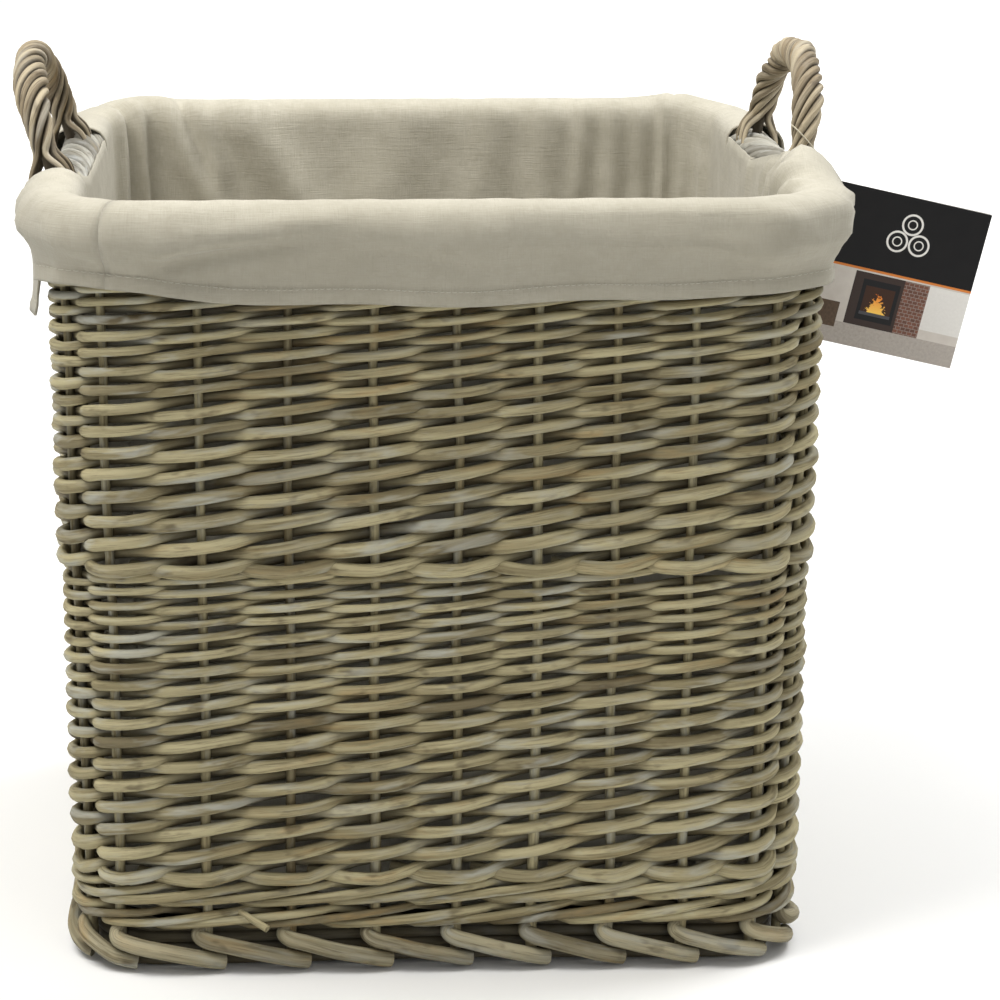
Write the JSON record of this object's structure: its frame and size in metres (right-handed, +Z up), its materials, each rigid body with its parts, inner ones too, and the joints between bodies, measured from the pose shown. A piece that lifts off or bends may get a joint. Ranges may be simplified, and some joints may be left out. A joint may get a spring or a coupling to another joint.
{
  "type": "log basket",
  "caption": "Square willow log basket with a lift-out cloth liner folded over its rim, rope-twisted rod handles on two sides and a folded card swing tag.",
  "frame": {"origin": "on the floor, under the middle of the basket, in the plane of the foot border's underside", "axes": "+Z up, +X towards the side whose handle carries the tag, +Y towards the back"},
  "size_m": [0.5285, 0.423, 0.4727],
  "materials": {
    "willow": "grey-brown washed willow, dry and slightly rough",
    "willow_pale": "whitewashed willow, dry",
    "handle_willow": "tan willow, slightly smooth",
    "cloth": "unbleached plain-weave calico, matt",
    "card": "printed card with a satin coat",
    "tie": "translucent plastic"
  },
  "bodies": {
    "basket": {"foot_border": "willow", "base_sticks": "willow", "base_weave": "willow", "upsett_wale": "willow", "lower_rand": "willow", "upper_rand": "willow", "collar_wale": "willow", "rim_border": "willow_pale", "stakes_front": "willow", "stakes_right": "willow", "stakes_back": "willow", "stakes_left": "willow", "stakes_corners": "willow", "handle_bow_left": "willow", "handle_wrap_left": "handle_willow", "handle_bow_right": "willow", "handle_wrap_right": "handle_willow", "tag_tie": "tie"},
    "liner": {"liner_floor": "cloth", "liner_wall_front": "cloth", "liner_wall_right": "cloth", "liner_wall_back": "cloth", "liner_wall_left": "cloth", "liner_cuff_front": "cloth", "liner_cuff_back": "cloth"},
    "tag": {"tag_card": "card"}
  },
  "joints": [
    {"name": "liner_lift", "type": "slide", "parent": "basket", "child": "liner", "axis": [0, 0, 1], "range_m": [0, 0.46]},
    {"name": "tag_swing", "type": "hinge", "parent": "basket", "child": "tag", "pos_m": [0.2247, -0.075, 0.3941], "axis": [0, -1, 0], "range_deg": [0, 90]}
  ]
}
